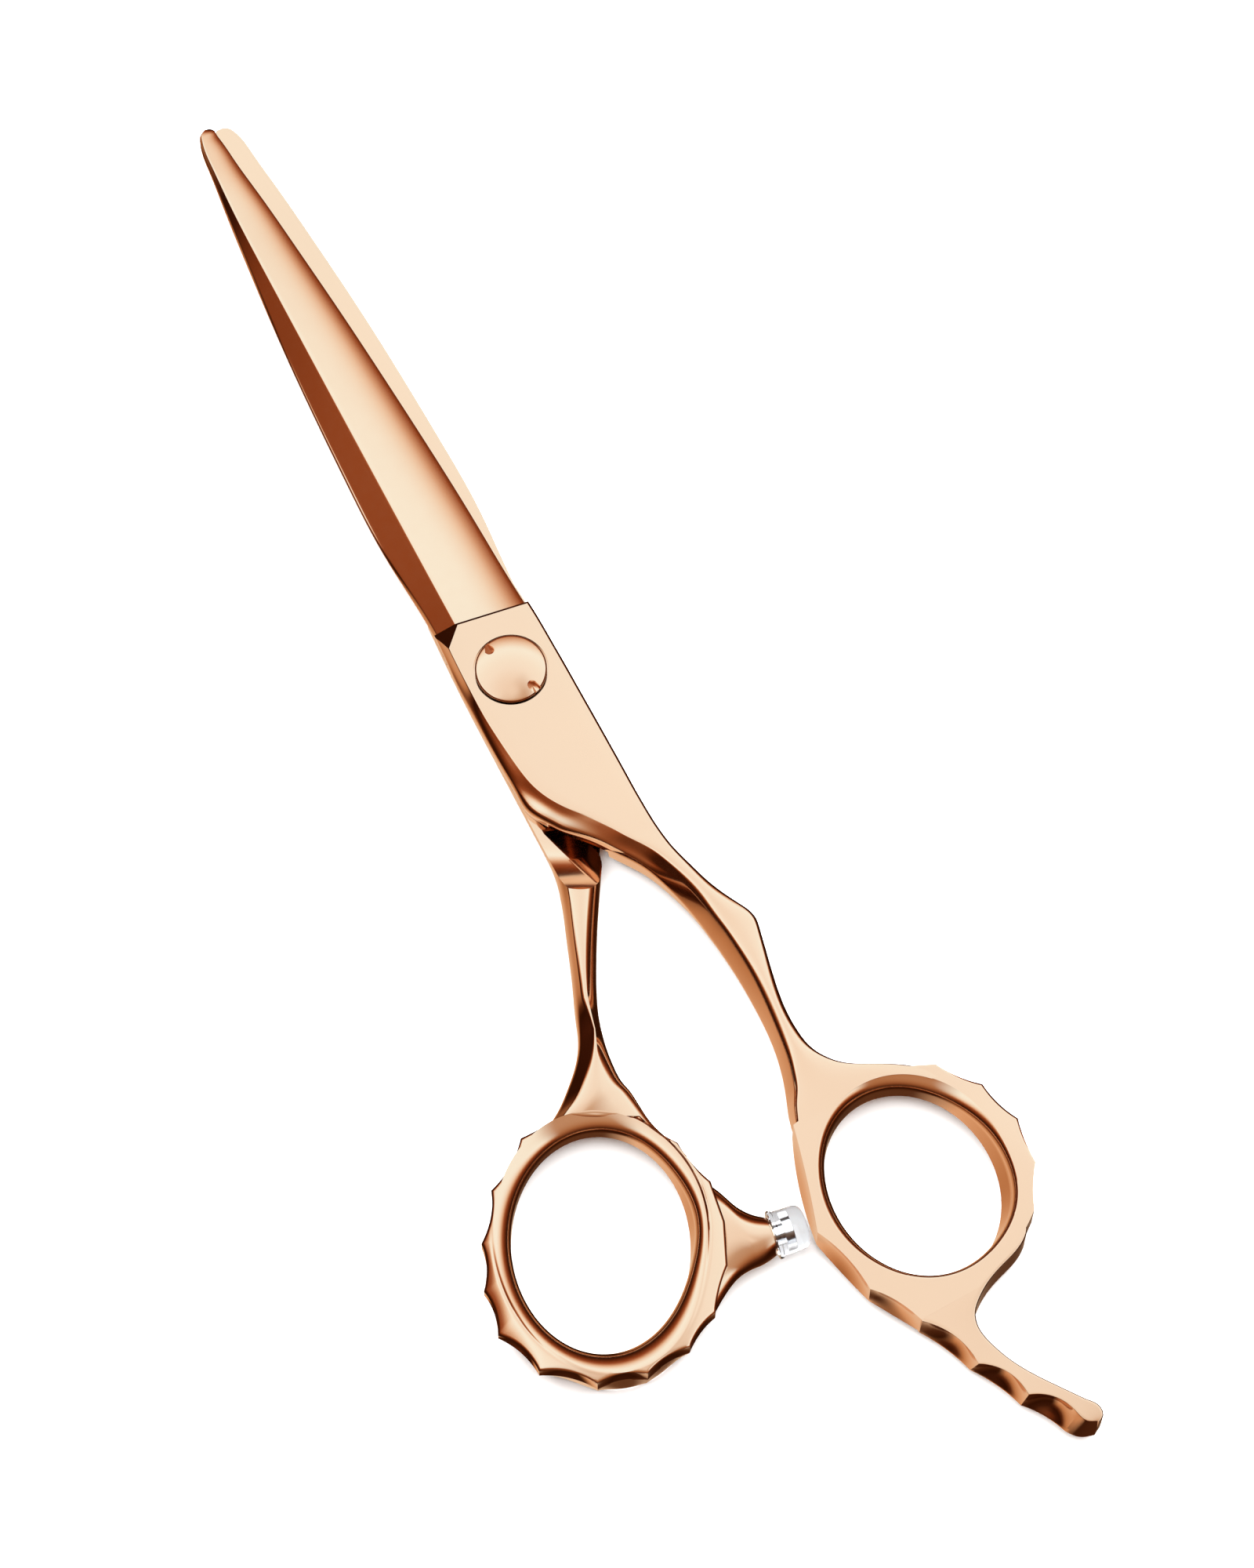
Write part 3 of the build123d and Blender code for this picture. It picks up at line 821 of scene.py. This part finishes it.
square = [(-1, -1), (1, -1), (1, 1), (-1, 1)]
floor_corners = [(FLOOR_HALF * x, FLOOR_HALF * y, FLOOR_HEIGHT) for x, y in square]
floor = mesh_object("floor", floor_corners, [(0, 1, 2, 3)])
paper = bpy.data.materials.new("floor_paper")
paper.use_nodes = True
paper_shader = paper.node_tree.nodes["Principled BSDF"]
paper_shader.inputs["Base Color"].default_value = (0.93, 0.93, 0.93, 1)
paper_shader.inputs["Roughness"].default_value = 0.9
floor.data.materials.append(paper)
floor.visible_glossy = False


# soft light panel, aimed at the pivot, that lights the scene but isn't mirrored in the metal
panel_place = Vector((0.2, 0.4, 1.2))
panel_light = bpy.data.lights.new("overhead", "AREA")
panel_light.shape = "RECTANGLE"
panel_light.size, panel_light.size_y = 2.5, 2.5
panel_light.energy = 110
panel = bpy.data.objects.new("overhead", panel_light)
panel.location = panel_place
panel.rotation_euler = (-panel_place).to_track_quat("-Z", "Y").to_euler()
panel.visible_glossy = False
bpy.context.scene.collection.objects.link(panel)

# studio seen in the metal: height above the horizon in degrees, and colour there
BRIGHTNESS = 2.0
ABOVE = [
    (0, (0.026, 0.006, 0.0014)), (16, (0.05, 0.012, 0.004)), (27, (0.17, 0.04, 0.01)),
    (35, (0.36, 0.1, 0.03)), (40, (0.74, 0.48, 0.31)), (44, (0.98, 0.95, 0.86)),
    (50, (1.07, 1.40, 1.55)), (60, (1.05, 1.26, 1.33)), (69, (1.04, 1.2, 1.26)), (90, (0.98, 1.02, 1.0)),
]
BACK = [
    (-90, (0.85, 0.62, 0.42)), (-60, (0.8, 0.52, 0.32)), (-30, (0.55, 0.28, 0.13)),
    (-12, (0.11, 0.03, 0.01)),
]
FRONT = [
    (-90, (0.16, 0.07, 0.03)), (-66, (0.07, 0.022, 0.008)), (-30, (0.03, 0.008, 0.002)),
    (0, (0.045, 0.013, 0.005)), (20, (0.12, 0.04, 0.015)), (35, (0.3, 0.12, 0.05)),
    (48, (0.46, 0.24, 0.12)), (60, (0.56, 0.37, 0.24)), (74, (0.6, 0.45, 0.33)),
    (82, (0.7, 0.57, 0.45)), (90, (0.98, 1.02, 1.0)),
]
RIGHT = [(-90, (0.4, 0.24, 0.14)), (-72, (0.06, 0.02, 0.008)), (-30, (0.03, 0.008, 0.002))]


def studio():
    """World whose colour depends on height, with darker tones in front and low on the right."""
    world = bpy.data.worlds.new("studio")
    bpy.context.scene.world = world
    world.use_nodes = True
    nodes, links = world.node_tree.nodes, world.node_tree.links
    direction = nodes.new("ShaderNodeTexCoord")
    split = nodes.new("ShaderNodeSeparateXYZ")
    links.new(direction.outputs["Generated"], split.inputs["Vector"])
    half = nodes.new("ShaderNodeMapRange")
    half.inputs["From Min"].default_value = -1
    links.new(split.outputs["Z"], half.inputs["Value"])

    def bands(table):
        """Colour by height from one of the tables."""
        node = nodes.new("ShaderNodeValToRGB")
        ramp = node.color_ramp
        while len(ramp.elements) < len(table):
            ramp.elements.new(0.5)
        for element, (height, colour) in zip(ramp.elements, table):
            element.position = (math.sin(math.radians(height)) + 1) / 2
            element.color = (*[c / BRIGHTNESS for c in colour], 1)
        links.new(half.outputs["Result"], node.inputs["Fac"])
        return node.outputs["Color"]

    def blend(towards, low, high, first, second):
        """From the first colour to the second as the direction turns towards a vector."""
        facing = nodes.new("ShaderNodeVectorMath")
        facing.operation = "DOT_PRODUCT"
        facing.inputs[1].default_value = towards
        links.new(direction.outputs["Generated"], facing.inputs[0])
        share = nodes.new("ShaderNodeMapRange")
        share.inputs["From Min"].default_value = low
        share.inputs["From Max"].default_value = high
        links.new(facing.outputs["Value"], share.inputs["Value"])
        mix = nodes.new("ShaderNodeMix")
        mix.data_type = "RGBA"
        links.new(share.outputs["Result"], mix.inputs["Factor"])
        links.new(first, mix.inputs[6])
        links.new(second, mix.inputs[7])
        return mix.outputs[2]

    left = blend((0.4, -0.92, 0), -0.1, 0.15, bands(BACK + ABOVE), bands(FRONT))
    whole = blend((1, 0, 0), 0.15, 0.32, left, bands(RIGHT + ABOVE))
    background = nodes["Background"]
    links.new(whole, background.inputs["Color"])
    background.inputs["Strength"].default_value = BRIGHTNESS


studio()

# the photograph's view, in degrees and metres
AZIMUTH, ELEVATION, DISTANCE = -27.043, 69.0, 0.65769
TARGET = Vector((0.00587, -0.01713, 0.0036))
azimuth, elevation = math.radians(AZIMUTH), math.radians(ELEVATION)
level = math.cos(elevation)
back = Vector((math.sin(azimuth) * level, -math.cos(azimuth) * level, math.sin(elevation)))
camera_data = bpy.data.cameras.new("camera")
camera_data.lens = 135
camera_data.sensor_fit = "VERTICAL"
camera_data.sensor_height = 36
camera_data.clip_start = 0.01
camera = bpy.data.objects.new("camera", camera_data)
camera.location = TARGET + back * DISTANCE
camera.rotation_euler = back.to_track_quat("Z", "Y").to_euler()
bpy.context.scene.collection.objects.link(camera)
bpy.context.scene.camera = camera
bpy.context.scene.view_settings.view_transform = "Standard"
